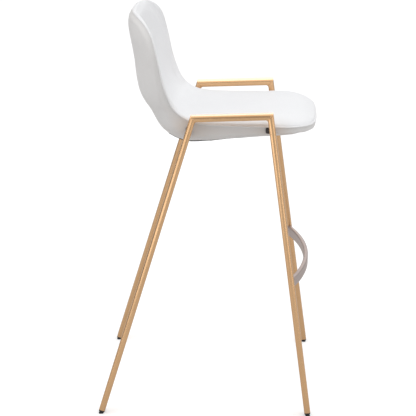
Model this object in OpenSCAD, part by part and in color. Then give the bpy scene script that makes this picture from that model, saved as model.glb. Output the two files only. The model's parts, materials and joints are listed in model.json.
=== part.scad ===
// Bar stool: padded bucket seat on a splayed frame of flat-oval tube,
// mitred armrest loops left and right, curved foot rail between the front legs.
// Millimetres. +Z up, the seat faces -Y, origin on the floor under the middle of the stool.

/* [Frame] */
// Height of the outer corner where a rear leg meets the armrest
arm_rear_z = 799.5; // [790:0.5:804]
// Height of the outer corner where a front leg meets the armrest
arm_front_z = 807; // [800:0.5:812]
// Distance of the rear armrest corner behind the origin
arm_rear_y = 44.5; // [38:0.5:48]
// Distance of the front armrest corner in front of the origin
arm_front_y = 168.5; // [150:0.5:180]
// Distance of the rear feet behind the origin
foot_rear_y = 282; // [255:0.5:300]
// Distance of the front feet in front of the origin
foot_front_y = 268; // [240:0.5:290]
// Half the distance between the feet of one pair
foot_x = 277; // [274:0.5:284]
// Sideways lean of the legs in degrees
splay = 4.32; // [4.1:0.02:4.4]

/* [Tube] */
// Width of the flat-oval tube, across the stool
tube_w = 33; // [28:0.5:33.5]
// Thickness of the flat-oval tube
tube_t = 16; // [14:0.5:16.5]
// Corner radius of the flat-oval tube
tube_r = 4.5; // [3:0.5:5]
// Wall of the tube
tube_wall = 1.5; // [1:0.1:2]

/* [Foot rail] */
// Height of the middle of the foot rail
rail_z = 355; // [300:1:420]
// Height of the rail's section
rail_h = 28; // [24:0.5:34]
// Thickness of the rail's section
rail_t = 11.5; // [9:0.5:12]
// How far the middle of the rail stands in front of its ends
rail_bow = 42; // [24:1:48]

/* [Seat mounting] */
// Height of the top of both cross tubes
cross_top_z = 763; // [762.5:0.1:763]
// Width of the cross tubes' section
cross_w = 20; // [18:0.5:20]
// Thickness of the cross tubes' section
cross_t = 12; // [11:0.5:12]
// Sideways distance of the seat bolts from the middle
bolt_x = 110; // [90:1:120]
// Radius of the bolt shank
bolt_r = 2.9; // [2.5:0.05:2.9]

/* [Upholstery] */
// Thickness of the cover material
skin = 1.2; // [1:0.1:1.5]
// Radius of the edge piping
pipe_r = 2.1; // [1.8:0.1:2.4]
// Thickness of the moulded plywood shell
ply_t = 9; // [8:0.5:9]

/* [Hidden] */
$fn = 32;

gold = "#c9a063";
blackish = "#1c1c1e";

// ---------- plane of one side frame: local Y, and local Z along the lean ----------
cs = cos(splay);
PR = [arm_rear_y, arm_rear_z / cs];
PF = [-arm_front_y, arm_front_z / cs];
FR = [foot_rear_y, 0];
FF = [-foot_front_y, 0];
function unit(v) = v / norm(v);
function crs(a, b) = a[0] * b[1] - a[1] * b[0];
function turn(v, a) = [v[0] * cos(a) - v[1] * sin(a), v[0] * sin(a) + v[1] * cos(a)];
function meet(p, a, q, b) = p + a * (crs(q - p, b) / crs(a, b));
// direction of a leg's centre line, so that its outer side passes through the corner
function leg_dir(f, c, side) = turn(unit(c - f), side * asin(tube_t / 2 / norm(c - f)));
dirR = leg_dir(FR, PR, 1);
dirF = leg_dir(FF, PF, -1);
arm_u = unit(PF - PR);
arm_down = [arm_u[1], -arm_u[0]];
arm_p = PR + (arm_down[1] < 0 ? arm_down : -arm_down) * tube_t / 2;
CR = meet(FR, dirR, arm_p, arm_u);
CF = meet(FF, dirF, arm_p, arm_u);
// distance from the floor to the cut end of a leg, along the leg
collar = 9;

module side_frame() { translate([foot_x, 0, 0]) rotate([0, -splay, 0]) children(); }
module at_yz(p, d) { translate([0, p[0], p[1]]) rotate([-atan2(d[0], d[1]), 0, 0]) children(); }
module flat_oval(w, t, r) {
    square([w - 2 * r, t], center = true);
    square([w, t - 2 * r], center = true);
    for (x = [-1, 1], y = [-1, 1]) translate([x * (w / 2 - r), y * (t / 2 - r)]) circle(r);
}
module tube_section() {
    difference() {
        flat_oval(tube_w, tube_t, tube_r);
        flat_oval(tube_w - 2 * tube_wall, tube_t - 2 * tube_wall, tube_r - tube_wall);
    }
}
// half-space on the side of the mitre plane towards direction d
module beyond(p, d) { at_yz(p, d) translate([-60, -90, 0]) cube([120, 180, 180]); }

module leg(f, d, c, arm_d) {
    n = unit(arm_d + d);
    side_frame() difference() {
        at_yz(f + d * collar, d)
            linear_extrude(height = norm(c - f) - collar + 30) tube_section();
        beyond(c, n);
    }
}
module front_leg() { color(gold) leg(FF, dirF, CF, -arm_u); }
module rear_leg() { color(gold) leg(FR, dirR, CR, arm_u); }
module armrest() {
    color(gold) side_frame() difference() {
        at_yz(CR - arm_u * 30, arm_u)
            linear_extrude(height = norm(CF - CR) + 60) tube_section();
        beyond(CR, -unit(arm_u + dirR));
        beyond(CF, unit(arm_u - dirF));
    }
}
// moulded glide: ribbed plug inside the tube, cap over its end, pad cut flat on the floor
module glide(f, d) {
    iw = tube_w - 2 * tube_wall - 0.2;
    it = tube_t - 2 * tube_wall - 0.2;
    color(blackish) difference() {
        side_frame() at_yz(f + d * collar, d) {
            linear_extrude(height = 18) flat_oval(iw - 2, it - 2, tube_r - tube_wall - 0.6);
            for (z = [3, 8, 13]) translate([0, 0, z]) linear_extrude(height = 2)
                flat_oval(iw, it, tube_r - tube_wall - 0.1);
            translate([0, 0, -3.5]) linear_extrude(height = 3.5) flat_oval(tube_w, tube_t, tube_r);
            translate([0, 0, -20]) linear_extrude(height = 17) flat_oval(tube_w - 5, tube_t - 4, 3.5);
        }
        translate([0, -400, -60]) cube([400, 800, 60]);
    }
}
module front_glide() { glide(FF, dirF); }
module rear_glide() { glide(FR, dirR); }

// keeps what lies between the inner faces of the two side frames
module between_frames(gap = 0) {
    intersection() {
        children();
        side_frame() translate([-700, -400, -60]) cube([700 - tube_w / 2 - gap, 800, 1000]);
        mirror([1, 0, 0]) side_frame() translate([-700, -400, -60]) cube([700 - tube_w / 2 - gap, 800, 1000]);
    }
}
// centre line of a leg at height z
function leg_y(f, d, z) = f[0] + d[0] / d[1] * z / cs;
function inner_x(z) = foot_x - z * tan(splay) - tube_w / 2 / cs;

cross_front_z = cross_top_z - cross_t / 2;
cross_y = leg_y(FF, dirF, cross_front_z) + 7;
rear_top = cross_top_z;
rear_z = rear_top - cross_w / 2;
rear_y = leg_y(FR, dirR, rear_z);
// hollow bar across the stool with closed ends
module cross_bar(y, z, w, t) {
    module bar(i) { translate([-260, y, z]) rotate([90, 0, 90]) linear_extrude(height = 520) flat_oval(w - 2 * i, t - 2 * i, 3 - i); }
    difference() {
        between_frames() bar(0);
        between_frames(3) bar(1.5);
    }
}
module front_cross_tube() {
    color(blackish) difference() {
        cross_bar(cross_y, cross_front_z, cross_w, cross_t);
        for (s = [-1, 1]) translate([s * bolt_x, cross_y, cross_front_z - 20])
            cylinder(h = 40, r = bolt_r + 0.4);
    }
}
module rear_cross_tube() {
    color(blackish) difference() {
        cross_bar(rear_y, rear_z, cross_t, cross_w);
        for (s = [-1, 1]) translate([s * bolt_x, rear_y, rear_top - 40])
            cylinder(h = 60, r = bolt_r + 0.4);
    }
}
// foot rail: an arc of flat bar with rounded edges, butted on the legs' inner faces
rail_half = inner_x(rail_z);
rail_R = (rail_half * rail_half + rail_bow * rail_bow) / (2 * rail_bow);
rail_end_y = leg_y(FF, dirF, rail_z);
module foot_rail() {
    color("#a08f86") between_frames()
        translate([0, rail_end_y - rail_bow + rail_R, rail_z]) rotate([0, 0, -90 - 30])
            rotate_extrude(angle = 60, $fn = 240) translate([rail_R, 0]) flat_oval(rail_t, rail_h, 4);
}

// ---------- bucket seat ----------
// Stations from the front lip (0) round to the top of the back (15).
// middle line y, z | edge line y, z | face angle | padding above the seam line |
// depth below it | half width | boxiness below | flatness across | edge tightness of the padding
ST = [
    [-282, 763, -282, 764, -3, 20, 30, 197, 4.4, 5.0, 6],
    [-238, 765, -238, 766, 0, 21, 31, 197, 4.0, 5.0, 6],
    [-190, 766, -190, 766, 0, 22, 34, 197, 4.2, 5.0, 6],
    [-140, 766, -140, 767, 0, 22, 37, 197, 4.4, 5.0, 6],
    [-90, 766, -90, 767.5, 0, 22, 41, 197, 4.6, 5.0, 6],
    [-40, 766, -40, 769.5, 0, 22, 46, 197, 4.8, 5.0, 6],
    [10, 766, 8, 773, 1, 22, 52, 197, 4.8, 5.0, 6],
    [58, 768, 43, 782, 10, 20, 58.5, 197, 4.6, 4.4, 6],
    [97, 781, 66, 795, 32, 17, 53, 200, 4.4, 3.6, 6],
    [124, 807, 85, 813, 56, 15, 38, 204, 4.0, 3.0, 6],
    [143, 841, 98, 838, 68, 13, 44, 208, 3.6, 2.6, 6],
    [156, 879, 110.5, 873, 73, 12, 41.5, 211, 3.2, 2.3, 6],
    [167, 921, 120, 915, 76, 12, 35, 212, 3.0, 2.2, 6],
    [178, 965, 128, 958, 77, 12, 33, 212, 3.0, 2.2, 7],
    [190, 1010, 134, 1002, 70, 13, 34, 212, 3.0, 2.2, 9],
    [204, 1042, 142, 1037, 46, 18, 30, 212, 3.0, 2.2, 10]
];
function row(s) = let (
    k = min(max(floor(s), 0), len(ST) - 2), f = s - k,
    a = ST[max(k - 1, 0)], b = ST[k], c = ST[k + 1], d = ST[min(k + 2, len(ST) - 1)])
    0.5 * (2 * b + (c - a) * f + (2 * a - 5 * b + 4 * c - d) * f * f + (3 * b - a - 3 * c + d) * f * f * f);
// outline of the seat in station space: rounded front corners, straight sides, rounded top
nf = 11; ns = 13; nt = 10; half = nf + ns + nt; N = 2 * half;
sF = 2; sT = 11.3; eF = 2 / 2.6; eT = 2 / 3.8;
function out_h(j) =
    j <= nf ? let (a = 90 * (1 - j / nf)) [pow(max(cos(a), 0), eF), sF - sF * pow(sin(a), eF)] :
    j <= nf + ns ? [1, sF + (sT - sF) * (j - nf) / ns] :
    let (a = 90 * (j - nf - ns) / nt) [j == half ? 0 : pow(cos(a), eT), sT + (15 - sT) * pow(sin(a), eT)];
// middle line that the rings close on
sM0 = 3.8; sM1 = 11;
function clampm(s) = min(max(s, sM0), sM1);
RHO = [1, 0.985, 0.96, 0.92, 0.85, 0.74, 0.58, 0.34];
K = len(RHO);
// point on the padded body: fraction rho out from the middle, face +1 in front and -1 behind
function body_pt(xr, s, rho, face, up) = let (
    sm = clampm(s),
    bulge = face <= -1 ? 5.5 * max(0, sin(180 * min(1, (1 - rho) / 0.12))) / 190 : 0,
    q = rho + bulge,
    s1 = sm + (s - sm) * q, r = row(s1),
    // width at the ring's own outline point, so that rings stay nested
    x = xr * row(s)[7] * q,
    v = max(0, 1 - pow(abs(x) / (r[7] + 8), r[9])),
    y = r[2] + (r[0] - r[2]) * v, z = r[3] + (r[1] - r[3]) * v,
    a = r[4],
    pad = face >= 1 ? (r[5] * pow(1 - pow(rho, r[10]), 0.5)) : face <= -1 ? -r[6] * pow(1 - pow(rho, r[8]), 1 / r[8]) : 0,
    off = pad + up)
    [x, y - off * sin(a), z + off * cos(a)];
function xs(i) = i <= half ? out_h(i) : let (o = out_h(N - i)) [-o[0], o[1]];

// ring vertices, outside first, then the middle line
jm0 = [for (j = [0:half]) if (out_h(j)[1] <= sM0) j][len([for (j = [0:half]) if (out_h(j)[1] <= sM0) j]) - 1];
jm1 = [for (j = [0:half]) if (out_h(j)[1] >= sM1) j][0];
function mid_i(i) = let (j = i <= half ? i : N - i) min(max(j, jm0), jm1) - jm0;
nm = jm1 - jm0 + 1;
// a sheet: inset in mm at the edge, face, extra offset (function of station through u0, u1)
function up_at(s, u) = u[0] + (u[1] - u[0]) * min(max((s - 7) / 3, 0), 1);
function sheet(inset, face, u) = [
    for (rho = RHO) for (i = [0:N - 1]) let (o = xs(i), sc = 1 - inset / 197,
        sm = clampm(o[1]))
        body_pt(o[0] * sc, sm + (o[1] - sm) * sc, rho, face,
            up_at(o[1], u) * (abs(face) < 1 ? 1 : min(1, (1 - rho) / 0.04))),
    for (m = [0:nm - 1]) let (j = jm0 + m, s = clampm(out_h(j)[1])) body_pt(0, s, 0, face, up_at(s, u))
];
SV = K * N + nm;
function vi(k, i) = k < K ? k * N + (i % N) : K * N + mid_i(i % N);
function distinct(t) = t[0] != t[1] && t[1] != t[2] && t[0] != t[2];
function sheet_faces(o, flip) = [
    for (k = [0:K - 1]) for (i = [0:N - 1]) let (
        a = o + vi(k, i), b = o + vi(k, i + 1), c = o + vi(k + 1, i + 1), d = o + vi(k + 1, i))
        for (t = i < half ? [[a, b, d], [b, c, d]] : [[a, b, c], [a, c, d]])
            if (distinct(t)) flip ? t : [t[2], t[1], t[0]]
];
// closed solid between an upper and a lower sheet
module layer(A, B, extra = []) {
    e = len(extra) > 0;
    polyhedron(points = concat(A, B, extra), faces = concat(
        sheet_faces(0, false), sheet_faces(SV, true),
        [for (i = [0:N - 1]) for (t = let (
            a = i, b = (i + 1) % N, c = SV + i, d = SV + (i + 1) % N,
            x = 2 * SV + i, y = 2 * SV + (i + 1) % N)
            e ? [[a, b, x], [b, y, x], [x, y, c], [y, d, c]] : [[a, b, c], [b, d, c]]) t]), convexity = 6);
}
ply_up = [6, 2];
S1i = sheet(0, 1, [0, 0]);
S2i = sheet(1.4, 1, [-skin, -skin]);
S1o = sheet(0, -1, [0, 0]);
S2o = sheet(1.4, -1, [skin, skin]);
S3t = sheet(9, 0.5, ply_up);
S3b = sheet(9, -0.5, ply_up - [ply_t, ply_t]);

module tube_channels() {
    translate([-240, cross_y - cross_w / 2 - 0.6, cross_front_z - cross_t / 2 - 1]) cube([480, cross_w + 1.2, cross_t + 2]);
    translate([-240, rear_y - cross_t / 2 - 1, rear_top - cross_w - 0.6]) cube([480, cross_t + 2, cross_w + 1.2]);
}
module bolt_wells() {
    for (s = [-1, 1]) {
        translate([s * bolt_x, cross_y, 700]) cylinder(h = 60, r = 12);
        translate([s * bolt_x, rear_y, 700]) cylinder(h = 60, r = 12);
    }
}

module ply() { layer(S3t, S3b); }
// heights of the recessed T-nut flanges, front and rear pair
nut_f = 770;
nut_r = 772.5;
module plywood_shell() {
    color("#c8a878") difference() {
        ply();
        for (s = [-1, 1]) {
            translate([s * bolt_x, cross_y, 755]) cylinder(h = 40, r = 4.1);
            translate([s * bolt_x, cross_y, nut_f]) cylinder(h = 20, r = 9.8);
            translate([s * bolt_x, rear_y, 755]) cylinder(h = 40, r = 4.1);
            translate([s * bolt_x, rear_y, nut_r]) cylinder(h = 20, r = 9.8);
        }
    }
}
module seat_foam() { color("#e9dfb4") layer(S2i, S3t); }
module backing_foam() {
    color("#ddd2a2") difference() {
        layer(S3b, S2o, [for (i = [0:N - 1]) S3t[i]]);
        tube_channels();
        bolt_wells();
    }
}
module inner_cover() { color("#f4f4f6") layer(S1i, S2i); }
module outer_cover() {
    color("#dcd8d4") difference() {
        layer(S2o, S1o);
        tube_channels();
        bolt_wells();
    }
}
// piping sewn into the seam, all the way round
PC = [for (i = [0:N - 1]) let (o = xs(i), sm = clampm(o[1]), sc = 1 + (pipe_r + 0.05) / 197)
    body_pt(o[0] * sc, sm + (o[1] - sm) * sc, 1, 0, 0)];
PN = 8;
module edge_piping() {
    color("#fafafa") polyhedron(points = [
        for (i = [0:N - 1]) let (c = PC[i], t = unit(PC[(i + 1) % N] - PC[(i + N - 1) % N]),
            o0 = c - S1i[i], o = unit(o0 - t * (o0 * t)), n = cross(t, o))
            for (k = [0:PN - 1]) c + pipe_r * (cos(k * 360 / PN) * o + sin(k * 360 / PN) * n)],
        faces = [for (i = [0:N - 1]) for (k = [0:PN - 1]) let (
            a = i * PN + k, b = i * PN + (k + 1) % PN,
            c = ((i + 1) % N) * PN + (k + 1) % PN, d = ((i + 1) % N) * PN + k)
            each [[a, c, b], [a, d, c]]], convexity = 8);
}
// dust cover: thin sheet under the belly, from the front round to behind the rear bolts
dust_t = 2;
DK = 4; DI = 19;
S0o = sheet(0, -1, [-dust_t, -dust_t]);
module dust_cover() {
    color(blackish) polyhedron(points = concat(S1o, S0o), faces = concat(
        dust_faces(0, false), dust_faces(SV, true),
        [for (q = [-DI:DI - 1]) let (i = (q + N) % N, a = vi(DK, i), b = vi(DK, i + 1))
            each [[a, b, SV + a], [b, SV + b, SV + a]]],
        [for (k = [DK:K - 1]) let (a = vi(k, DI), b = vi(k + 1, DI)) each [[a, b, SV + a], [b, SV + b, SV + a]]],
        [for (k = [DK:K - 1]) let (a = vi(k, N - DI), b = vi(k + 1, N - DI)) each [[a, SV + a, b], [b, SV + a, SV + b]]]),
        convexity = 6);
}
function dust_faces(o, flip) = [
    for (k = [DK:K - 1]) for (q = [-DI:DI - 1]) let (i = (q + N) % N,
        a = o + vi(k, i), b = o + vi(k, i + 1), c = o + vi(k + 1, i + 1), d = o + vi(k + 1, i))
        for (t = i < half ? [[a, b, d], [b, c, d]] : [[a, b, c], [a, c, d]])
            if (distinct(t)) flip ? t : [t[2], t[1], t[0]]
];

// ---------- fasteners ----------
module pairs() {
    for (s = [-1, 1]) {
        translate([s * bolt_x, cross_y, cross_front_z - cross_t / 2]) children(0);
        translate([s * bolt_x, rear_y, rear_top - cross_w]) children(1);
    }
}
module tnut(z0, z1) {
    translate([0, 0, z0]) difference() {
        union() {
            cylinder(h = z1 - z0, r = 3.95);
            translate([0, 0, z1 - z0]) cylinder(h = 1.4, r = 9.5);
        }
        translate([0, 0, -1]) cylinder(h = 30, r = bolt_r + 0.1);
    }
}
module t_nuts() {
    color("#b9bcc0") for (s = [-1, 1]) {
        translate([s * bolt_x, cross_y, 0]) tnut(rear_top + 0.3, nut_f + 0.1);
        translate([s * bolt_x, rear_y, 0]) tnut(rear_top + 0.3, nut_r + 0.1);
    }
}
module bolt(l) {
    difference() {
        union() {
            translate([0, 0, -3.1 - 4]) cylinder(h = 4, r = 5);
            translate([0, 0, -3.1]) cylinder(h = l, r = bolt_r);
        }
        translate([0, 0, -3.1 - 4.1]) cylinder(h = 2.4, r = 2.31, $fn = 6);
    }
}
module seat_bolts() { color("#2a2a2c") pairs() { bolt(24); bolt(32); } }
module ring(ro, ri, h, z) { translate([0, 0, z]) difference() { cylinder(h = h, r = ro); translate([0, 0, -1]) cylinder(h = h + 2, r = ri); } }
module flat_washers() { color("#9a9da1") pairs() { ring(6.5, 3.2, 1.6, -1.6); ring(6.5, 3.2, 1.6, -1.6); } }
// split spring washers
module split_ring() { difference() { ring(5.2, 3.05, 1.5, -3.1); translate([2, -0.5, -4]) cube([5, 1, 4]); } }
module spring_washers() { color("#7d8084") pairs() { split_ring(); split_ring(); } }

module left() { mirror([1, 0, 0]) children(); }

front_leg();  // right_front_leg
rear_leg();  // right_rear_leg
armrest();  // right_armrest
left() front_leg();  // left_front_leg
left() rear_leg();  // left_rear_leg
left() armrest();  // left_armrest
front_cross_tube();
rear_cross_tube();
foot_rail();
front_glide();  // right_front_glide
rear_glide();  // right_rear_glide
left() front_glide();  // left_front_glide
left() rear_glide();  // left_rear_glide
plywood_shell();
seat_foam();
backing_foam();
inner_cover();
outer_cover();
edge_piping();
dust_cover();
t_nuts();
seat_bolts();
flat_washers();
spring_washers();
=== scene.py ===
import bpy, bmesh, json, math
import numpy as np
from mathutils import Vector, Matrix
from mathutils.bvhtree import BVHTree

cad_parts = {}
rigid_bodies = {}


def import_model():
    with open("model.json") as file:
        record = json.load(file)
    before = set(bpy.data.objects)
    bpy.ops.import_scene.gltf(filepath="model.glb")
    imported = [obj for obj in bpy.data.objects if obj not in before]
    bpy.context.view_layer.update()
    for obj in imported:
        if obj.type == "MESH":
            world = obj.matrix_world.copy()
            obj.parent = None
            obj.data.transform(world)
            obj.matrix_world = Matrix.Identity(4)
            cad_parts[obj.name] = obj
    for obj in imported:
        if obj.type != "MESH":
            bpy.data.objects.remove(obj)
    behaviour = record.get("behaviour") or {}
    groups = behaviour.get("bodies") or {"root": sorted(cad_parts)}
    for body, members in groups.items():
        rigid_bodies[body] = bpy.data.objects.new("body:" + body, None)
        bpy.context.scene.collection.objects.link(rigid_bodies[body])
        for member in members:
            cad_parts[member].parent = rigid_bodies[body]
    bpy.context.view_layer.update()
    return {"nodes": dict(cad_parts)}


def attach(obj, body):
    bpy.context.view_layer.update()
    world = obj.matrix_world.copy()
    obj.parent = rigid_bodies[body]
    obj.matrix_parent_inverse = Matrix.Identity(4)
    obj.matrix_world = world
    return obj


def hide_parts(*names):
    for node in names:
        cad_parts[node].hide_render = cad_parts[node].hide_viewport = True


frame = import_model()
SC = bpy.context.scene
NODES = frame["nodes"]
RNG = np.random.default_rng(7)
MM = 0.001

# ------------------------------------------------------------------ camera
YAW, PITCH = 0.0357075, 0.2861345
fw = Vector((math.cos(PITCH) * math.cos(YAW), math.cos(PITCH) * math.sin(YAW), -math.sin(PITCH)))
cam_d = bpy.data.cameras.new("camera")
cam = bpy.data.objects.new("camera", cam_d)
SC.collection.objects.link(cam)
cam.location = (-4.3945, -0.150, 1.7826)
cam.rotation_euler = fw.to_track_quat("-Z", "Y").to_euler()
cam_d.sensor_width = 36
cam_d.lens = 36 * 1671.2 / 416
cam_d.clip_end = 60
SC.camera = cam


# ------------------------------------------------------------------ materials
class Mat:
    """A node material: self.p is its Principled shader."""

    def __init__(self, name):
        self.m = bpy.data.materials.new(name)
        self.m.use_nodes = True
        self.t = self.m.node_tree
        self.p = self.t.nodes["Principled BSDF"]

    def n(self, kind, **kw):
        node = self.t.nodes.new(kind)
        for k, v in kw.items():
            if k in node.inputs:
                node.inputs[k].default_value = v
            else:
                setattr(node, k, v)
        return node

    def link(self, a, b):
        self.t.links.new(a, b)

    def coords(self, kind="Object", scale=(1, 1, 1)):
        c = self.n("ShaderNodeTexCoord")
        m = self.n("ShaderNodeMapping")
        m.inputs["Scale"].default_value = scale
        self.link(c.outputs[kind], m.inputs["Vector"])
        return m.outputs["Vector"]

    def noise(self, vec, scale, detail=4, rough=0.5):
        x = self.n("ShaderNodeTexNoise")
        x.inputs["Scale"].default_value = scale
        x.inputs["Detail"].default_value = detail
        x.inputs["Roughness"].default_value = rough
        self.link(vec, x.inputs["Vector"])
        return x.outputs["Fac"]

    def ramp(self, fac, stops):
        r = self.n("ShaderNodeValToRGB")
        e = r.color_ramp.elements
        while len(e) < len(stops):
            e.new(0.5)
        for el, (p, c) in zip(e, stops):
            el.position = p
            el.color = (*c, 1) if len(c) == 3 else c
        self.link(fac, r.inputs["Fac"])
        return r.outputs["Color"]

    def span(self, fac, lo, hi, a=0.0, b=1.0):
        r = self.n("ShaderNodeMapRange")
        for k, v in (("From Min", a), ("From Max", b), ("To Min", lo), ("To Max", hi)):
            r.inputs[k].default_value = v
        self.link(fac, r.inputs["Value"])
        return r.outputs["Result"]

    def math(self, op, a, b):
        x = self.n("ShaderNodeMath", operation=op)
        for k, v in ((0, a), (1, b)):
            if hasattr(v, "default_value") or hasattr(v, "links"):
                self.link(v, x.inputs[k])
            else:
                x.inputs[k].default_value = v
        return x.outputs[0]

    def mix(self, fac, a, b, kind="MIX"):
        x = self.n("ShaderNodeMix", data_type="RGBA", blend_type=kind)
        for k, v in ((0, fac), (6, a), (7, b)):
            if isinstance(v, (int, float)):
                x.inputs[k].default_value = v
            elif isinstance(v, tuple):
                x.inputs[k].default_value = (*v, 1)
            else:
                self.link(v, x.inputs[k])
        return x.outputs[2]

    def bump(self, height, strength, distance, normal=None):
        b = self.n("ShaderNodeBump")
        b.inputs["Strength"].default_value = strength
        b.inputs["Distance"].default_value = distance
        self.link(height, b.inputs["Height"])
        if normal is not None:
            self.link(normal, b.inputs["Normal"])
        return b.outputs["Normal"]

    def set(self, **kw):
        for k, v in kw.items():
            s = self.p.inputs[k.replace("_", " ")]
            if isinstance(v, (int, float)):
                s.default_value = v
            elif isinstance(v, tuple):
                s.default_value = (*v, 1)
            else:
                self.link(v, s)
        return self.m


def brushed(name, light, dark, r0, r1, kind="UV", stretch=(7, 620, 1), metallic=1.0, bump=0.12):
    m = Mat(name)
    v = m.coords(kind, stretch)
    fine = m.noise(v, 1.0, 5, 0.6)
    broad = m.noise(m.coords("Object"), 9.0, 3)
    cloud = m.noise(m.coords("Object"), 60.0, 3)
    c = m.mix(m.span(fine, 0.0, 1.0, 0.3, 0.7), dark, light)
    c = m.mix(m.span(broad, 0.0, 0.25, 0.35, 0.75), c, tuple(x * 0.9 for x in dark))
    rough = m.math("ADD", m.span(fine, r0, r1, 0.25, 0.75), m.span(cloud, -0.03, 0.04, 0.3, 0.7))
    return m.set(Base_Color=c, Metallic=metallic, Roughness=rough, Normal=m.bump(fine, bump, 0.0004))


def leatherette(name, base, shade, rough=0.46, grain=1.0):
    m = Mat(name)
    o = m.coords("Object")
    warp = m.n("ShaderNodeTexNoise")
    warp.inputs["Scale"].default_value = 260
    m.link(o, warp.inputs["Vector"])
    mixv = m.n("ShaderNodeMix", data_type="VECTOR")
    mixv.inputs[0].default_value = 0.0018
    m.link(o, mixv.inputs[4])
    m.link(warp.outputs["Color"], mixv.inputs[5])
    cell = m.n("ShaderNodeTexVoronoi", feature="DISTANCE_TO_EDGE")
    cell.inputs["Scale"].default_value = 620
    m.link(mixv.outputs[1], cell.inputs["Vector"])
    pores = m.span(cell.outputs["Distance"], 0.0, 1.0, 0.0, 0.16)
    fine = m.noise(o, 1400, 3, 0.55)
    soft = m.noise(o, 55, 4, 0.5)
    broad = m.noise(o, 7, 3, 0.5)
    height = m.math("ADD", m.math("MULTIPLY", pores, 0.7), m.math("MULTIPLY", fine, 0.3))
    n1 = m.bump(height, 0.32 * grain, 0.00022)
    n2 = m.bump(soft, 0.16, 0.0012, n1)
    c = m.mix(m.span(broad, 0.0, 1.0, 0.3, 0.7), base, shade)
    c = m.mix(m.span(pores, 0.22, 0.0, 0.0, 0.5), c, tuple(x * 0.80 for x in shade))
    r = m.math("ADD", m.span(soft, rough - 0.05, rough + 0.06, 0.3, 0.7), m.span(pores, 0.07, 0.0))
    return m.set(Base_Color=c, Roughness=r, Normal=n2, IOR=1.47)


GOLD = brushed("brushed_gold", (0.85, 0.54, 0.295), (0.785, 0.485, 0.26), 0.16, 0.26)
RAIL = brushed("brushed_taupe", (0.60, 0.505, 0.47), (0.44, 0.355, 0.325), 0.30, 0.44, metallic=0.85)
WELD_R = brushed("weld_taupe", (0.46, 0.38, 0.35), (0.34, 0.27, 0.245), 0.36, 0.5, "Object", (300, 300, 300), 0.85)
WHITE = leatherette("leatherette_white", (0.90, 0.905, 0.92), (0.875, 0.88, 0.897))
# painted shade: the outer pad is the same white leatherette as the inner cover, given a greyer, warmer base colour that
# paints the shade on the back and the underside
OUTER_PAINTED_SHADE = leatherette("leatherette_outer_painted_shade", (0.80, 0.785, 0.775), (0.765, 0.75, 0.74), 0.5)
PIPING = leatherette("leatherette_piping", (0.90, 0.90, 0.905), (0.87, 0.87, 0.875), 0.43, 0.7)


def black_plastic():
    m = Mat("glide_black")
    o = m.coords("Object")
    g = m.noise(o, 900, 3)
    s = m.noise(o, 40, 4)
    return m.set(Base_Color=m.mix(m.span(s, 0, 1, 0.35, 0.7), (0.012, 0.012, 0.013), (0.030, 0.029, 0.029)),
                 Roughness=m.span(s, 0.42, 0.62, 0.3, 0.7), Normal=m.bump(g, 0.25, 0.0002))


def nonwoven():
    m = Mat("nonwoven_black")
    o = m.coords("Object")
    dots = m.n("ShaderNodeTexVoronoi", feature="F1")
    dots.inputs["Scale"].default_value = 420
    dots.inputs["Randomness"].default_value = 0.25
    m.link(o, dots.inputs["Vector"])
    d = m.span(dots.outputs["Distance"], 0, 1, 0.15, 0.45)
    f = m.noise(m.coords("Object", (1, 3, 1)), 500, 5, 0.7)
    c = m.mix(m.span(f, 0, 1, 0.3, 0.7), (0.010, 0.010, 0.011), (0.035, 0.034, 0.035))
    return m.set(Base_Color=m.mix(m.span(d, 0.5, 0.0), c, (0.006, 0.006, 0.006)), Roughness=m.span(f, 0.8, 0.95),
                 Normal=m.bump(m.math("ADD", d, f), 0.5, 0.0003))


def plywood():
    m = Mat("plywood_birch")
    v = m.coords("Object", (1, 9, 9))
    f = m.noise(v, 26, 6, 0.6)
    g = m.noise(m.coords("Object", (1, 14, 14)), 120, 4)
    c = m.ramp(f, [(0.3, (0.50, 0.34, 0.19)), (0.55, (0.66, 0.49, 0.30)), (0.75, (0.74, 0.58, 0.38))])
    return m.set(Base_Color=m.mix(m.span(g, 0, 0.5, 0.45, 0.7), c, (0.42, 0.28, 0.15)), Roughness=m.span(g, 0.55, 0.75),
                 Normal=m.bump(g, 0.2, 0.0003))


def foam(name, a, b):
    m = Mat(name)
    o = m.coords("Object")
    v = m.n("ShaderNodeTexVoronoi", feature="F1")
    v.inputs["Scale"].default_value = 700
    m.link(o, v.inputs["Vector"])
    f = m.noise(o, 20, 4)
    return m.set(Base_Color=m.mix(m.span(f, 0, 1, 0.3, 0.7), a, b), Roughness=m.span(f, 0.85, 0.95),
                 Normal=m.bump(v.outputs["Distance"], 0.4, 0.0005))


def steel(name, a, b, r0, r1, metallic=1.0):
    m = Mat(name)
    o = m.coords("Object")
    v = m.n("ShaderNodeTexVoronoi", feature="F1")
    v.inputs["Scale"].default_value = 330
    m.link(o, v.inputs["Vector"])
    s = m.noise(o, 260, 4)
    c = m.mix(m.span(v.outputs["Color"], 0, 1), a, b)
    return m.set(Base_Color=c, Metallic=metallic, Roughness=m.span(s, r0, r1, 0.3, 0.7), Normal=m.bump(s, 0.08, 0.0002))


# painted shade: the cross tubes and their welds get a near-black coat, so the front tube's end in the seat's side notch
# shows as the dark patch of shade there; the tubes themselves are real frame parts
def painted_shade_dark_coat():
    m = Mat("dark_coat_painted_shade")
    o = m.coords("Object")
    orange = m.noise(o, 620, 3, 0.45)
    s = m.noise(o, 30, 4)
    return m.set(Base_Color=m.mix(m.span(s, 0, 1, 0.3, 0.7), (0.052, 0.048, 0.050), (0.086, 0.080, 0.083)),
                 Roughness=m.span(s, 0.40, 0.55, 0.3, 0.7), Normal=m.bump(orange, 0.35, 0.0003))


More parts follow.
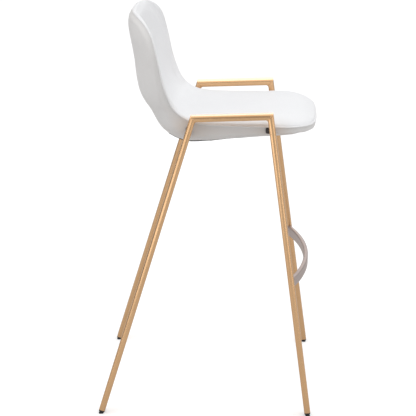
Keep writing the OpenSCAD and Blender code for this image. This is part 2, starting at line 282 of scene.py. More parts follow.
GLIDE, DUST, PLY, CROSS_TUBE_SHADE_DARK = black_plastic(), nonwoven(), plywood(), painted_shade_dark_coat()
ZINC = steel("zinc_plate", (0.55, 0.56, 0.58), (0.70, 0.71, 0.73), 0.25, 0.42)
BOLT = steel("bolt_black_oxide", (0.045, 0.045, 0.048), (0.075, 0.074, 0.075), 0.35, 0.5, 0.9)
STAPLE = steel("staple_wire", (0.50, 0.51, 0.53), (0.62, 0.63, 0.65), 0.25, 0.4)


# ------------------------------------------------------------------ mesh helpers
def new_obj(name, verts, faces, mat, smooth=True, sharp=None, uvs=None):
    me = bpy.data.meshes.new(name)
    me.from_pydata([tuple(v) for v in verts], [], [tuple(int(i) for i in f) for f in faces])
    me.materials.append(mat)
    if uvs is not None:
        layer = me.uv_layers.new(name="UVMap")
        flat = []
        for poly in me.polygons:
            for li in poly.loop_indices:
                flat.extend(uvs[poly.index][li - poly.loop_start])
        layer.data.foreach_set("uv", flat)
    me.update()
    if smooth:
        me.shade_smooth()
        if sharp:
            me.set_sharp_from_angle(angle=math.radians(sharp))
    ob = bpy.data.objects.new(name, me)
    SC.collection.objects.link(ob)
    return ob


def outward(ob):
    """Faces point out of a closed mesh."""
    bm = bmesh.new()
    bm.from_mesh(ob.data)
    bmesh.ops.recalc_face_normals(bm, faces=bm.faces)
    if bm.calc_volume(signed=True) < 0:
        bmesh.ops.reverse_faces(bm, faces=bm.faces)
    bm.to_mesh(ob.data)
    bm.free()
    return ob


def loft(name, rings, mat, close_ends=True, closed_loop=False, sharp=None, lengths=None):
    """Skin through rings of equal point counts (arrays n x 3), with uv along and around in metres."""
    rings = [np.asarray(r, float) for r in rings]
    n, k = len(rings[0]), len(rings)
    verts = np.concatenate(rings)
    if lengths is None:
        c = [r.mean(0) for r in rings]
        lengths = np.concatenate([[0], np.cumsum([np.linalg.norm(c[i + 1] - c[i]) for i in range(k - 1)])])
    around = [np.concatenate([[0], np.cumsum(np.linalg.norm(np.roll(r, -1, 0) - r, axis=1))]) for r in rings]
    faces, uvs = [], []
    for i in range(k if closed_loop else k - 1):
        j = (i + 1) % k
        lj = lengths[j] if j else lengths[i] + np.linalg.norm(rings[i].mean(0) - rings[0].mean(0))
        for a in range(n):
            b = (a + 1) % n
            faces.append((i * n + a, i * n + b, j * n + b, j * n + a))
            uvs.append([(lengths[i], around[i][a]), (lengths[i], around[i][a + 1]), (lj, around[j][a + 1]), (lj, around[j][a])])
    if close_ends and not closed_loop:
        faces.append(tuple(range(n - 1, -1, -1)))
        uvs.append([(p[0], p[1]) for p in rings[0]][::-1])
        faces.append(tuple(range((k - 1) * n, k * n)))
        uvs.append([(p[0], p[1]) for p in rings[-1]])
    return outward(new_obj(name, verts, faces, mat, True, sharp, uvs))


def oval(w, t, r, seg=8, flat=4, inset=0.0, crown=0.0):
    """Rounded rectangle, w across (first) and t thick (second), corner radius r; the flats swell by crown."""
    w, t, r = w - 2 * inset, t - 2 * inset, max(r - inset, 0.2)
    pts = []
    for cx, cy, a0 in ((w / 2 - r, t / 2 - r, 0), (-w / 2 + r, t / 2 - r, 90), (-w / 2 + r, -t / 2 + r, 180), (w / 2 - r, -t / 2 + r, 270)):
        for i in range(seg + 1):
            a = math.radians(a0 + 90 * i / seg)
            pts.append((cx + r * math.cos(a), cy + r * math.sin(a)))
    out = []
    for i, p in enumerate(pts):
        q = pts[(i + 1) % len(pts)]
        out.append(p)
        m = flat if i % (seg + 1) == seg else 1
        for j in range(1, m):
            b = crown * 4 * (j / m) * (1 - j / m)
            n = unit(np.array([q[1] - p[1], p[0] - q[0]])) * b
            out.append((p[0] + (q[0] - p[0]) * j / m + n[0], p[1] + (q[1] - p[1]) * j / m + n[1]))
    return np.array(out)


def finish_piece(ob, slot, *replaces):
    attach(ob, "root")
    if replaces:
        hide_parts(*replaces)
    return ob


def join(name, obs):
    """Several meshes as one object."""
    verts, faces, uvs, base = [], [], [], 0
    mat = obs[0].data.materials[0]
    bm = bmesh.new()
    for o in obs:
        bm.from_mesh(o.data)
    me = bpy.data.meshes.new(name)
    bm.to_mesh(me)
    bm.free()
    me.materials.append(mat)
    for p in me.polygons:
        p.material_index = 0
    for o in obs:
        bpy.data.objects.remove(o)
    ob = bpy.data.objects.new(name, me)
    SC.collection.objects.link(ob)
    return ob


# ------------------------------------------------------------------ the side frames' plane
SPLAY = math.radians(4.32)
CS, SN = math.cos(SPLAY), math.sin(SPLAY)
FOOT_X, TW, TT, TR = 277.0, 33.0, 16.0, 4.5
PR, PF = np.array([44.5, 799.5 / CS]), np.array([-168.5, 807 / CS])
FR, FF = np.array([282.0, 0.0]), np.array([-268.0, 0.0])
unit = lambda v: v / np.linalg.norm(v)
crs = lambda a, b: a[0] * b[1] - a[1] * b[0]


def turn(v, a):
    return np.array([v[0] * math.cos(a) - v[1] * math.sin(a), v[0] * math.sin(a) + v[1] * math.cos(a)])


def meet(p, a, q, b):
    return p + a * (crs(q - p, b) / crs(a, b))


def leg_dir(f, c, side):
    return turn(unit(c - f), side * math.asin(TT / 2 / np.linalg.norm(c - f)))


DR, DF = leg_dir(FR, PR, 1), leg_dir(FF, PF, -1)
AU = unit(PF - PR)
AD = np.array([AU[1], -AU[0]])
AD = AD if AD[1] < 0 else -AD
AP = PR + AD * TT / 2
CR, CF = meet(FR, DR, AP, AU), meet(FF, DF, AP, AU)
COLLAR = 9.0


def world(xl, yz, side):
    """Side-frame point: outward distance xl, (Y, Z') in the plane; side +1 right, -1 left. Metres."""
    xl, y, z = np.broadcast_arrays(np.asarray(xl, float), yz[..., 0], yz[..., 1])
    return np.stack([side * (FOOT_X + xl * CS - z * SN), y, xl * SN + z * CS], -1) * MM


CROWN = 0.3
PROFILE = oval(TW, TT, TR, flat=8, crown=CROWN)


def tube_rings(stations, side):
    """stations: (outer point, inner point, inset) in the plane; the section spans them."""
    rings = []
    for o, i, ins in stations:
        p = oval(TW, TT, TR, flat=8, inset=ins, crown=CROWN) if ins else PROFILE
        b = (p[:, 1] / TT + 0.5)[:, None]
        rings.append(world(p[:, 0], o * (1 - b) + i * b, side))
    return rings


def mitre(c, d_leg, d_arm, out_pt):
    """Inner corner, and the fillet arc from the leg's side to the mitre plane's middle."""
    s = unit(d_arm - d_leg)  # Unit direction along the mitre plane, towards the inside of the corner.
    return s


def leg_piece(name, node, f, d, c, arm, side):
    """Leg from its collar to the mitre plane; arm is the armrest's direction away from the corner."""
    nrm = np.array([d[1], -d[0]])
    if nrm @ arm > 0:
        nrm = -nrm  # towards the outside of the corner
    anrm = np.array([AU[1], -AU[0]])
    anrm = anrm if anrm[1] > 0 else -anrm
    outer = meet(f + nrm * TT / 2, d, c + anrm * TT / 2, AU)
    inner = meet(f - nrm * TT / 2, d, c - anrm * TT / 2, AU)
    ang = math.acos(np.clip(-(d @ arm), -1, 1))  # inside angle at the corner
    r = 7.0
    t = r / math.tan(ang / 2)
    ctr = inner - d * t - nrm * r
    L = (inner - f) @ d
    st = []
    for z in np.linspace(COLLAR, L - t - 14, 22):
        st.append((f + d * z + nrm * TT / 2, f + d * z - nrm * TT / 2, 0))
    st[0] = (st[0][0], st[0][1], 0.6)
    st.insert(1, (f + d * (COLLAR + 0.25) + nrm * TT / 2, f + d * (COLLAR + 0.25) - nrm * TT / 2, 0.15))
    st.insert(2, (f + d * (COLLAR + 0.7) + nrm * TT / 2, f + d * (COLLAR + 0.7) - nrm * TT / 2, 0))
    # fan from the straight section to the mitre plane
    o0, o1 = f + d * (L - t) + nrm * TT / 2, outer
    a0 = inner - d * t
    bis = unit(arm - d)
    end = ctr + (inner - ctr) / np.linalg.norm(inner - ctr) * r
    v0, v1 = a0 - ctr, end - ctr
    st.append((o0, a0, 0))
    K = 6
    for k in range(1, K + 1):
        q = k / K
        w = unit(v0 * (1 - q) + v1 * q) * r
        st.append((o0 + (o1 - o0) * q, ctr + w, 0))
    # groove of the dressed weld at the mitre plane
    o, i, _ = st[-1]
    back = st[-2]
    pull = 0.7
    du, di_ = unit(back[0] - o), unit(back[1] - i)
    st[-1] = (o + du * pull, i + di_ * pull * 0.5, 0)
    st.append((o + du * pull * 0.4, i + di_ * pull * 0.2, 0.16))
    st.append((o, i, 0.42))
    ob = loft(name, tube_rings(st, side), GOLD, sharp=38)
    finish_piece(ob, "gold_tube", node)
    return (outer, inner, ctr, end, t)


def arm_piece(name, node, front, rear, side):
    """Armrest between its two mitre planes."""
    anrm = np.array([AU[1], -AU[0]])
    anrm = anrm if anrm[1] > 0 else -anrm
    r = 7.0

    def ending(info, away):
        outer, inner, ctr, end, t = info
        a0 = inner + away * t
        o0 = a0 + anrm * TT
        v0, v1 = a0 - ctr, end - ctr
        st = [(o0, a0, 0)]
        K = 6
        for k in range(1, K + 1):
            q = k / K
            st.append((o0 + (outer - o0) * q, ctr + unit(v0 * (1 - q) + v1 * q) * r, 0))
        o, i, _ = st[-1]
        du, di_ = unit(st[-2][0] - o), unit(st[-2][1] - i)
        st[-1] = (o + du * 0.7, i + di_ * 0.35, 0)
        st.append((o + du * 0.28, i + di_ * 0.14, 0.16))
        st.append((o, i, 0.42))
        return st

    a = ending(rear, AU)
    b = ending(front, -AU)
    o_a, i_a, _ = a[0]
    o_b, i_b, _ = b[0]
    mid = [(o_a + (o_b - o_a) * q, i_a + (i_b - i_a) * q, 0) for q in np.linspace(0, 1, 8)[1:-1]]
    ob = loft(name, tube_rings(a[::-1] + mid + b, side), GOLD, sharp=38)
    finish_piece(ob, "gold_tube", node)


for word, side in (("right", 1), ("left", -1)):
    fr = leg_piece(f"{word}_front_leg_tube", f"{word}_front_leg", FF, DF, CF, -AU, side)
    rr = leg_piece(f"{word}_rear_leg_tube", f"{word}_rear_leg", FR, DR, CR, AU, side)
    arm_piece(f"{word}_arm_tube", f"{word}_armrest", fr, rr, side)


# ------------------------------------------------------------------ glides
def glide_piece(name, node, f, d, side):
    nrm = np.array([d[1], -d[0]])

    def ring(z, w, t, r, ins=0.0, floor=None):
        p = oval(w, t, r, inset=ins)
        base = (f + d * z)[None, :] + nrm[None, :] * p[:, 1:2]
        pts = world(p[:, 0], base, side)
        if floor is not None:  # slide along the leg's axis down to this height
            ax = world(0.0, (f + d * 100)[None, :], side)[0] - world(0.0, f[None, :], side)[0]
            ax = ax / ax[2]
            pts = pts + ax[None, :] * (floor * MM - pts[:, 2:3])
        return pts

    W, T, w, t = TW, TT, TW - 5, TT - 4
    rings = [ring(9.6, W, T, 4.5, 1.7), ring(9.0, W, T, 4.5, 1.7), ring(8.98, W, T, 4.5, 0.5),
             ring(8.7, W, T, 4.5, 0.12), ring(8.2, W, T, 4.5, 0.0), ring(6.8, W, T, 4.5, 0.0),
             ring(6.1, W, T, 4.5, 0.18), ring(5.65, W, T, 4.5, 0.6), ring(5.45, W, T, 4.5, 1.3),
             ring(5.3, w + 0.6, t + 0.8, 3.6, 0.1), ring(4.9, w, t, 3.5, 0.0),
             ring(0, w, t, 3.5, 0.0, 1.1), ring(0, w, t, 3.5, 0.18, 0.45), ring(0, w, t, 3.5, 0.55, 0.1),
             ring(0, w, t, 3.5, 1.1, 0.0)]
    ob = loft(name, rings, GLIDE, sharp=50)
    finish_piece(ob, "glide", node)


for word, side in (("right", 1), ("left", -1)):
    glide_piece(f"{word}_front_glide_cap", f"{word}_front_glide", FF, DF, side)
    glide_piece(f"{word}_rear_glide_cap", f"{word}_rear_glide", FR, DR, side)


# ------------------------------------------------------------------ foot rail
def leg_y(f, d, z):
    return f[0] + d[0] / d[1] * z / CS


RZ, RH, RT, BOW = 355.0, 28.0, 11.5, 42.0
HALF = FOOT_X - RZ * math.tan(SPLAY) - TW / 2 / CS
RR = (HALF * HALF + BOW * BOW) / (2 * BOW)
END_Y = leg_y(FF, DF, RZ)
RC_Y = END_Y - BOW + RR


def rail_pt(th, a, b):
    """Angle from the apex, radial offset (+ outward), height offset. Millimetres."""
    return np.stack([(RR + a) * np.sin(th), RC_Y - (RR + a) * np.cos(th), RZ + b + 0 * th], -1)


def rail_end(a, b, depth):
    """Angle at which each profile point meets the right leg's inner face, sunk by depth."""
    lo, hi = np.full(len(a), 0.1), np.full(len(a), 0.9)
    for _ in range(50):
        m = (lo + hi) / 2
        p = rail_pt(m, a, b)
        xl = (p[:, 0] - FOOT_X) * CS + p[:, 2] * SN
        inside = xl < -TW / 2 + depth
        lo, hi = np.where(inside, m, lo), np.where(inside, hi, m)
    return (lo + hi) / 2


rp = oval(RT, RH, 4.0, seg=8, flat=5)
th_end = rail_end(rp[:, 0], rp[:, 1], 0.4)
rings = []
for q in np.linspace(-1, 1, 73):
    rings.append(rail_pt(q * th_end, rp[:, 0], rp[:, 1]) * MM)
rail = loft("foot_rail_bar", rings, RAIL, sharp=40)
finish_piece(rail, "foot_rail", "foot_rail")


def bead(name, loop, nrm, mat, r=1.5, step=2.2):
    """A small weld bead round a loop of points (metres) lying on a face with normal nrm."""
    loop = np.asarray(loop, float)
    seg = np.linalg.norm(np.roll(loop, -1, 0) - loop, axis=1)
    total = seg.sum()
    n = int(total / (step * MM / 2))
    cum = np.concatenate([[0], np.cumsum(seg)])
    pts = np.array([[np.interp(t, cum, np.append(loop[:, k], loop[0, k])) for k in range(3)] for t in np.linspace(0, total, n, endpoint=False)])
    rings = []
    for i in range(n):
        t = unit(pts[(i + 1) % n] - pts[i - 1])
        o = unit(np.cross(t, nrm))
        rad = r * MM * (1 + 0.16 * math.cos(i * math.pi) + 0.10 * math.sin(i * 1.7))
        rings.append([pts[i] + rad * (math.cos(a) * o + math.sin(a) * nrm) for a in np.linspace(0, 2 * math.pi, 8, endpoint=False)])
    return loft(name, rings, mat, close_ends=False, closed_loop=True)


def face_normal(side):
    return np.array([-side * CS, 0, -SN])


beads = []
for side in (1, -1):
    p = rail_pt(rail_end(rp[:, 0], rp[:, 1], 0.0), rp[:, 0], rp[:, 1]) * MM
    p[:, 0] *= side
    beads.append(bead("b", p, face_normal(side), WELD_R, 1.3))
finish_piece(join("foot_rail_welds", beads), "foot_rail")

# cross bars stay as modelled; their welds are added
CW, CT, CTOP = 20.0, 12.0, 763.0
CZ = CTOP - CT / 2
CY = leg_y(FF, DF, CZ) + 7
RZC = CTOP - CW / 2
RY = leg_y(FR, DR, RZC)
beads = []
for side in (1, -1):
    for cy, cz, prof in ((CY, CZ, oval(CW, CT, 3.0)), (RY, RZC, oval(CT, CW, 3.0))):
        y, z = cy + prof[:, 0], cz + prof[:, 1]
        x = FOOT_X - z * math.tan(SPLAY) - TW / 2 / CS
        beads.append(bead("b", np.stack([side * x, y, z], -1) * MM, face_normal(side), CROSS_TUBE_SHADE_DARK, 0.9))
finish_piece(join("cross_tube_welds", beads), "cross_tube")

# ------------------------------------------------------------------ the seat's form
ST = np.array([
    [-282, 763, -282, 764, -3, 20, 30, 197, 4.4, 5.0, 6],
    [-238, 765, -238, 766, 0, 21, 31, 197, 4.0, 5.0, 6],
    [-190, 766, -190, 766, 0, 22, 34, 197, 4.2, 5.0, 6],
    [-140, 766, -140, 767, 0, 22, 37, 197, 4.4, 5.0, 6],
    [-90, 766, -90, 767.5, 0, 22, 41, 197, 4.6, 5.0, 6],
    [-40, 766, -40, 769.5, 0, 22, 46, 197, 4.8, 5.0, 6],
    [10, 766, 8, 773, 1, 22, 52, 197, 4.8, 5.0, 6],
    [58, 768, 43, 782, 10, 20, 58.5, 197, 4.6, 4.4, 6],
    [97, 781, 66, 795, 32, 17, 53, 200, 4.4, 3.6, 6],
    [124, 807, 85, 813, 56, 15, 38, 204, 4.0, 3.0, 6],
    [143, 841, 98, 838, 68, 13, 44, 208, 3.6, 2.6, 6],
    [156, 879, 110.5, 873, 73, 12, 41.5, 211, 3.2, 2.3, 6],
    [167, 921, 120, 915, 76, 12, 35, 212, 3.0, 2.2, 6],
    [178, 965, 128, 958, 77, 12, 33, 212, 3.0, 2.2, 7],
    [190, 1010, 134, 1002, 70, 13, 34, 212, 3.0, 2.2, 9],
    [204, 1042, 142, 1037, 46, 18, 30, 212, 3.0, 2.2, 10]], float)
SF, STP, PWF, PWT = 2.0, 11.3, 2.6, 3.8
SM0, SM1 = 3.8, 11.0


def row(s):
    s = np.asarray(s, float)
    k = np.clip(np.floor(s).astype(int), 0, len(ST) - 2)
    f = (s - k)[..., None]
    a, b, c, d = ST[np.maximum(k - 1, 0)], ST[k], ST[k + 1], ST[np.minimum(k + 2, len(ST) - 1)]
    return 0.5 * (2 * b + (c - a) * f + (2 * a - 5 * b + 4 * c - d) * f * f + (3 * b - a - 3 * c + d) * f ** 3)


def body_pt(xr, s, rho, face, up=0.0):
    xr, s, rho = np.broadcast_arrays(np.asarray(xr, float), np.asarray(s, float), np.asarray(rho, float))
    sm = np.clip(s, SM0, SM1)
    bulge = 5.5 / 190 * np.maximum(0, np.sin(np.pi * np.minimum(1, (1 - rho) / 0.12))) if face <= -1 else 0.0
    q = rho + bulge
    r = row(sm + (s - sm) * q)
    x = xr * row(s)[..., 7] * q
    v = np.maximum(0, 1 - (np.abs(x) / (r[..., 7] + 8)) ** r[..., 9])
    y = r[..., 2] + (r[..., 0] - r[..., 2]) * v
    z = r[..., 3] + (r[..., 1] - r[..., 3]) * v
    a = np.radians(r[..., 4])
    rc = np.clip(rho, 0, 1)
    if face >= 1:
        pad = r[..., 5] * np.sqrt(np.maximum(0, 1 - rc ** r[..., 10]))
    elif face <= -1:
        pad = -r[..., 6] * np.maximum(0, 1 - rc ** r[..., 8]) ** (1 / r[..., 8])
    else:
        pad = 0.0
    off = pad + up
    return np.stack([x, y - off * np.sin(a), z + off * np.cos(a)], -1)


def level(X, S):
    """Above zero outside the seat's outline in station space."""
    X = np.abs(X)
    front = X ** PWF + np.maximum(0, (SF - S) / SF) ** PWF
    top = X ** PWT + np.maximum(0, (S - STP) / (15 - STP)) ** PWT
    return np.where(S < SF, front, np.where(S > STP, top, X)) - 1


def to_outline(X, S):
    """(outline x, outline s, fraction out) of a point in station space."""
    m = np.clip(S, SM0, SM1)
    lo, hi = np.full(X.shape, 1e-5), np.ones(X.shape)
    for _ in range(60):
        r = (lo + hi) / 2
        out = level(X / r, m + (S - m) / r) > 0
        lo, hi = np.where(out, r, lo), np.where(out, hi, r)
    rho = (lo + hi) / 2
    flat = (np.abs(X) < 1e-9) & (np.abs(S - m) < 1e-9)
    rho = np.where(flat, 0.0, rho)
    rr = np.where(flat, 1.0, rho)
    return np.where(flat, 1.0, X / rr), m + (S - m) / rr, rho


# outline as four sides between the middles of its rounded corners
def outline_pts(n=400):
    a = np.linspace(math.pi / 2, 0, n)
    f = np.stack([np.cos(a).clip(0) ** (2 / PWF), SF - SF * np.sin(a).clip(0) ** (2 / PWF)], -1)
    st = np.stack([np.ones(n), np.linspace(SF, STP, n)], -1)[1:-1]
    a = np.linspace(0, math.pi / 2, n)
    t = np.stack([np.cos(a).clip(0) ** (2 / PWT), STP + (15 - STP) * np.sin(a).clip(0) ** (2 / PWT)], -1)
    return np.concatenate([f, st, t])


OUT = outline_pts()
P3 = body_pt(OUT[:, 0], OUT[:, 1], 1.0, 0)
ARC = np.concatenate([[0], np.cumsum(np.linalg.norm(np.diff(P3, axis=0), axis=1))])
i_f = int(np.argmin(np.abs(OUT[:400, 0] - 0.5 ** (1 / PWF))))
i_t = len(OUT) - 400 + int(np.argmin(np.abs(OUT[-400:, 0] - 0.5 ** (1 / PWT))))
A_F, A_T, A_E = ARC[i_f], ARC[i_t], ARC[-1]


def at_arc(t):
    return np.stack([np.interp(t, ARC, OUT[:, 0]), np.interp(t, ARC, OUT[:, 1])], -1)


def warp(t, a=0.84):
    return (1 - a) * t + a * (0.5 - 0.5 * np.cos(np.pi * t))


NU, NV = 62, 98
U, V = warp(np.linspace(0, 1, NU + 1)), warp(np.linspace(0, 1, NV + 1), 0.62)
half_u = np.abs(2 * U - 1)
c0 = at_arc(half_u * A_F)
c0[:, 0] *= np.sign(2 * U - 1)
c1 = at_arc(A_E - half_u * (A_E - A_T))
c1[:, 0] *= np.sign(2 * U - 1)
d1 = at_arc(A_F + V * (A_T - A_F))
d0 = d1 * [-1, 1]
uu, vv = U[:, None, None], V[None, :, None]
GRID = ((1 - vv) * c0[:, None] + vv * c1[:, None] + (1 - uu) * d0[None] + uu * d1[None]
        - ((1 - uu) * (1 - vv) * c0[0] + uu * (1 - vv) * c0[-1] + (1 - uu) * vv * c1[0] + uu * vv * c1[-1]))
XR, SS, RHO = to_outline(GRID[..., 0], GRID[..., 1])
edge = np.zeros(RHO.shape, bool)
edge[0], edge[-1], edge[:, 0], edge[:, -1] = True, True, True, True
RHO = np.where(edge, 1.0, RHO)
FRONT = body_pt(XR, SS, RHO, 1)
BACK = body_pt(XR, SS, RHO, -1)
GID = np.arange((NU + 1) * (NV + 1)).reshape(NU + 1, NV + 1)


def grid_faces(gid, flip=False):
    a, b, c, d = gid[:-1, :-1], gid[1:, :-1], gid[1:, 1:], gid[:-1, 1:]
    q = np.stack([a, b, c, d] if not flip else [a, d, c, b], -1).reshape(-1, 4)
    return q.tolist()


def smooth_normals(P):
    """Unit normals of a grid surface, P[u, v, 3], pointing as +u cross +v."""
    du, dv = np.gradient(P, axis=0), np.gradient(P, axis=1)
    n = np.cross(du, dv)
    return n / np.maximum(np.linalg.norm(n, axis=-1, keepdims=True), 1e-9)


NF, NB = smooth_normals(FRONT), -smooth_normals(BACK)


def puff():
    """Blows the sewn cover up against its seam, with Cloth, and returns how far each grid point moves (front, back), in mm."""
    fade = np.clip((1 - RHO) / 0.08, 0, 1)[..., None]
    f0, b0 = FRONT - NF * 1.2 * fade, BACK - NB * 1.2 * fade
    nb = np.full(GID.shape, -1)
    nb[edge] = GID[edge]
    nb[~edge] = GID.size + np.arange((~edge).sum())
    verts = np.concatenate([f0.reshape(-1, 3), b0[~edge]]) * MM
    me = bpy.data.meshes.new("cover_sim")
    me.from_pydata(verts.tolist(), [], grid_faces(GID) + grid_faces(nb, True))
    ob = bpy.data.objects.new("cover_sim", me)
    SC.collection.objects.link(ob)
    pin = ob.vertex_groups.new(name="pin")
    w_front = np.clip(1 - (1 - RHO) / 0.05, 0, 1) ** 2
    allw = np.concatenate([w_front.ravel(), w_front[~edge]])
    allw[GID[edge]] = 1.0
    for i, w in enumerate(allw):
        if w > 0.01:
            pin.add([i], float(w), "REPLACE")
    md = ob.modifiers.new("Cloth", "CLOTH")
    cs = md.settings
    cs.quality, cs.mass = 6, 0.25
    cs.tension_stiffness, cs.compression_stiffness, cs.shear_stiffness, cs.bending_stiffness = 30, 20, 12, 1.2
    cs.tension_damping = cs.compression_damping = cs.shear_damping = 8
    cs.use_pressure, cs.uniform_pressure_force = True, 4
    cs.shrink_min = -0.004
    cs.effector_weights.gravity = 0
    cs.vertex_group_mass = "pin"
    md.collision_settings.use_collision = False
    md.collision_settings.use_self_collision = False
    md.point_cache.frame_start, md.point_cache.frame_end = 1, 20
    for f in range(1, 21):
        SC.frame_set(f)
    ev = ob.evaluated_get(bpy.context.evaluated_depsgraph_get())
    co = np.zeros(len(ev.data.vertices) * 3)
    ev.data.vertices.foreach_get("co", co)
    co = co.reshape(-1, 3) / MM
    bpy.data.objects.remove(ob)
    SC.frame_set(1)
    front = co[:GID.size].reshape(FRONT.shape)
    back = np.zeros_like(BACK)
    back[edge] = front[edge]
    back[~edge] = co[GID.size:]
    return front - f0, back - b0


def settle(move, normals, cap, start=1.2):
    """Movement kept along the normal, held under cap, from the smaller starting shape back out."""
    fade = np.clip((1 - RHO) / 0.08, 0, 1)
    along = (move * normals).sum(-1)
    side = move - along[..., None] * normals
    along = cap * np.tanh(along / cap)
    side = side * (0.5 / np.maximum(1, np.linalg.norm(side, axis=-1, keepdims=True) / 0.8))
    return normals * (along - start * fade)[..., None] + side * fade[..., None]


mf, mb = puff()
print("PUFF mm: front", np.percentile(np.linalg.norm(mf, axis=-1), [50, 90, 100]).round(2),
      "back", np.percentile(np.linalg.norm(mb, axis=-1), [50, 90, 100]).round(2))
MF, MB = settle(mf, NF, 2.4), settle(mb, NB, 2.0)


def hills(x, y, seed, scale, octaves=3):
    """Smooth repeatable unevenness between about -1 and 1."""
    rng = np.random.default_rng(seed)
    out = np.zeros_like(x)
    for o in range(octaves):
        for _ in range(5):
            a, ph = rng.uniform(0, 2 * np.pi, 2)
            k = 2 * np.pi / (scale / 2 ** o)
            out += np.sin(k * (x * np.cos(a) + y * np.sin(a)) + ph) * 0.6 ** o / 5
    return out


# pulled leatherette: faint unevenness, soft tension lines fanning from the fold between seat and back
xm = XR * row(SS)[..., 7] * RHO
arcs = GRID[..., 1] * 47
mid = np.clip((1 - RHO) / 0.10, 0, 1)
fold = np.exp(-((GRID[..., 1] - 8.0) / 1.15) ** 2)
rays = np.sin(xm / 13.0 + 1.1 * np.sin(xm / 41.0) + (GRID[..., 1] - 8.0) * xm / 130.0)
near_edge = np.exp(-((1 - RHO) / 0.055) ** 2) * (1 - np.exp(-((1 - RHO) / 0.012) ** 2))
edge_run = np.interp(SS, [0, 15], [0, 705]) + np.abs(XR) * 190
gather = np.sin(edge_run / 4.2 + 1.5 * np.sin(edge_run / 17.0)) * (0.55 + 0.45 * np.sin(edge_run / 60.0))
df = 0.35 * hills(xm, arcs, 3, 110) * mid + 0.28 * rays * fold * np.clip(np.abs(xm) / 90 - 0.25, 0, 1) * mid + 0.20 * gather * near_edge
db = 0.40 * hills(xm, arcs, 5, 120) * mid + 0.18 * gather * near_edge
# the cover dips behind its raised rim where the sides of the back run into the seat
turn_in = np.exp(-((GRID[..., 1] - 9.5) / 1.0) ** 2)
df += turn_in * (1.0 * np.exp(-(((1 - RHO) - 0.06) / 0.03) ** 2) - 3.6 * np.exp(-(((1 - RHO) - 0.17) / 0.06) ** 2))
FRONT2 = FRONT + MF + NF * df[..., None]
BACK2 = BACK + MB + NB * db[..., None]

# inner sides of the two pads, against the plywood shell
SC9 = 1 - 9 / 197
smo = np.clip(SS, SM0, SM1)
UP = 6 + (2 - 6) * np.clip((SS - 7) / 3, 0, 1)
PLY_T = body_pt(XR * SC9, smo + (SS - smo) * SC9, RHO, 0.5, UP)
PLY_B = body_pt(XR * SC9, smo + (SS - smo) * SC9, RHO, -0.5, UP - 9)


def subdivided(P, name):
    """One level of Catmull-Clark on the open grid: (verts, faces)."""
    me = bpy.data.meshes.new(name)
    me.from_pydata((P.reshape(-1, 3) * MM).tolist(), [], grid_faces(GID))
    ob = bpy.data.objects.new(name, me)
    SC.collection.objects.link(ob)
    md = ob.modifiers.new("s", "SUBSURF")
    md.levels = md.render_levels = 1
    md.boundary_smooth = "ALL"
    ev = ob.evaluated_get(bpy.context.evaluated_depsgraph_get())
    m = ev.to_mesh()
    v = np.array([x.co[:] for x in m.vertices])
    f = [tuple(p.vertices) for p in m.polygons]
    ev.to_mesh_clear()
    bpy.data.objects.remove(ob)
    return v, f


def boundary(faces):
    """Directed boundary edges of a face list."""
    seen = {}
    for f in faces:
        for a, b in zip(f, f[1:] + f[:1]):
            seen[(a, b)] = True
    return [(a, b) for (a, b) in seen if (b, a) not in seen]


vf, ff = subdivided(FRONT2, "f")
vb, fb = subdivided(BACK2, "b")
vt, _ = subdivided(PLY_T, "t")
vp, _ = subdivided(PLY_B, "p")
n = len(vf)
rim = boundary(ff)
inner = outward(new_obj("seat_inner_pad", np.concatenate([vf, vt]),
                        ff + [tuple(i + n for i in f[::-1]) for f in ff] + [(b, a, a + n, b + n) for a, b in rim],
                        WHITE, True))
rimset = sorted({i for e in rim for i in e})
ext = {i: 2 * n + k for k, i in enumerate(rimset)}
outer = outward(new_obj("seat_outer_pad", np.concatenate([vb, vp, vt[rimset]]),
                        [f[::-1] for f in ff] + [tuple(i + n for i in f) for f in ff]
                        + [(a, b, ext[b], ext[a]) for a, b in rim] + [(ext[a], ext[b], b + n, a + n) for a, b in rim],
                        OUTER_PAINTED_SHADE, True))


def cut(ob, cutters):
    for i, c in enumerate(cutters):
        md = ob.modifiers.new(f"cut{i}", "BOOLEAN")
        md.operation, md.solver, md.object = "DIFFERENCE", "EXACT", c
    ev = ob.evaluated_get(bpy.context.evaluated_depsgraph_get())
    me = bpy.data.meshes.new_from_object(ev)
    ob.modifiers.clear()
    old = ob.data
    ob.data = me
    bpy.data.meshes.remove(old)
    for c in cutters:
        bpy.data.objects.remove(c)
    return ob


def slot_cutter(y, z, w, t, r):
    """Channel with rounded corners, right through from side to side, for a cross tube."""
    p = oval(w, t, r, seg=5, flat=3)
    rings = [np.stack([np.full(len(p), x), y + p[:, 0], z + p[:, 1]], -1) * MM for x in (-240, 240)]
    return loft("cutter", rings, OUTER_PAINTED_SHADE)


cut(outer, [slot_cutter(CY, CZ - 0.3, CW + 2.6, CT + 3.0, 3.6), slot_cutter(RY, RZC - 0.3, CT + 3.0, CW + 3.0, 3.6)])
me = outer.data
me.materials.clear()
me.materials.append(OUTER_PAINTED_SHADE)
for p in me.polygons:
    p.material_index = 0
me.shade_smooth()
me.set_sharp_from_angle(angle=math.radians(50))
inner.data.set_sharp_from_angle(angle=math.radians(60))
finish_piece(inner, "white_cover", "inner_cover", "seat_foam")
finish_piece(outer, "outer_cover", "outer_cover", "backing_foam")

